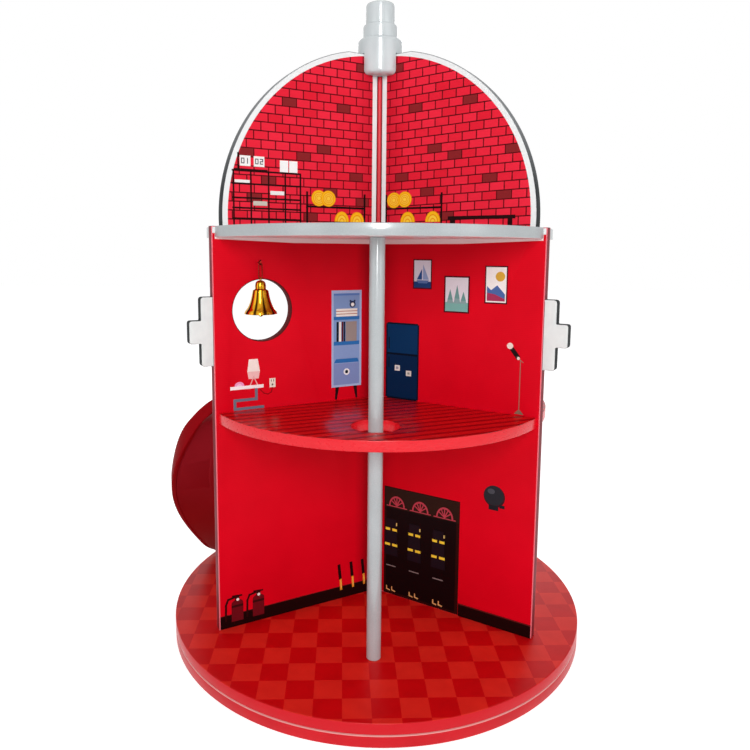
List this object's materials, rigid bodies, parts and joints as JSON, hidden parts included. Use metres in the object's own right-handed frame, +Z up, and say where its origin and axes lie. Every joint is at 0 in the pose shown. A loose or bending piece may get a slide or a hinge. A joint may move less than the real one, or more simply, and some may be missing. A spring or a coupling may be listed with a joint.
{
  "type": "toy fire station",
  "caption": "Round turning toy fire station with open rooms on three sides, a fire pole, a slide, a hanging bell and a hydrant-shaped roof.",
  "frame": {"origin": "middle of the foot board's flat underside, on the base's turning axis", "axes": "+Z up along the turning axis, -Y through the middle of the front sector with the fire pole, +X to the right"},
  "size_m": [0.4111, 0.4, 0.595],
  "materials": {
    "foot_paint": "red satin paint on a round board",
    "deck_print": "red checked print under satin varnish",
    "wall_print": "printed board with pale edges",
    "floor_print": "printed planks under satin varnish",
    "post_paint": "red paint",
    "silver_paint": "silver-grey paint",
    "pole_paint": "bright silver paint",
    "slide_plastic": "glossy moulded plastic",
    "brass": "polished",
    "zinc_steel": "zinc plated",
    "beech": "bare beech"
  },
  "bodies": {
    "base": {"foot_disc": "foot_paint", "lower_race": "zinc_steel", "lower_race_screw_1": "zinc_steel", "lower_race_screw_2": "zinc_steel", "lower_race_screw_3": "zinc_steel"},
    "balls": {"ball_cage": "zinc_steel"},
    "station": {"deck_disc": "deck_print", "upper_race": "zinc_steel", "centre_post": "post_paint", "left_wall": "wall_print", "right_wall": "wall_print", "back_wall": "wall_print", "left_outlet": "silver_paint", "right_outlet": "silver_paint", "back_outlet": "silver_paint", "front_middle_floor": "floor_print", "left_middle_floor": "floor_print", "right_middle_floor": "floor_print", "front_upper_floor": "silver_paint", "left_upper_floor": "silver_paint", "right_upper_floor": "silver_paint", "fire_pole": "pole_paint", "hydrant_nut": "silver_paint", "slide": "slide_plastic", "bell_screw_eye": "brass", "post_screw": "zinc_steel", "wall_screw_1": "zinc_steel", "wall_screw_2": "zinc_steel", "wall_screw_3": "zinc_steel", "wall_screw_4": "zinc_steel", "wall_screw_5": "zinc_steel", "wall_screw_6": "zinc_steel", "upper_race_screw_1": "zinc_steel", "upper_race_screw_2": "zinc_steel", "upper_race_screw_3": "zinc_steel", "slide_screw_1": "zinc_steel", "slide_screw_2": "zinc_steel", "left_outlet_dowel": "beech", "right_outlet_dowel": "beech", "back_outlet_dowel": "beech"},
    "bell_hanger": {"bell_link": "brass"},
    "bell": {"bell_shell": "brass"},
    "clapper": {"bell_clapper": "zinc_steel"}
  },
  "joints": [
    {"name": "deck_spin", "type": "hinge", "parent": "base", "child": "station", "pos_m": [0, 0, 0.0105], "axis": [0, 0, 1], "continuous": true},
    {"name": "ball_ring_spin", "type": "hinge", "parent": "base", "child": "balls", "pos_m": [0, 0, 0.01], "axis": [0, 0, 1], "continuous": true},
    {"name": "link_swing", "type": "hinge", "parent": "station", "child": "bell_hanger", "pos_m": [-0.10275, -0.07203, 0.35545], "axis": [-0.866, -0.5, 0], "range_deg": [-6, 60]},
    {"name": "bell_swing", "type": "hinge", "parent": "bell_hanger", "child": "bell", "pos_m": [-0.10275, -0.07203, 0.343], "axis": [0.5, -0.866, 0], "range_deg": [-15, 15]},
    {"name": "clapper_swing", "type": "hinge", "parent": "bell", "child": "clapper", "pos_m": [-0.10275, -0.07203, 0.33], "axis": [-0.866, -0.5, 0], "range_deg": [-27, 27]}
  ],
  "couplings": [
    {"joint": "ball_ring_spin", "follows": "deck_spin", "ratio": 0.5}
  ]
}
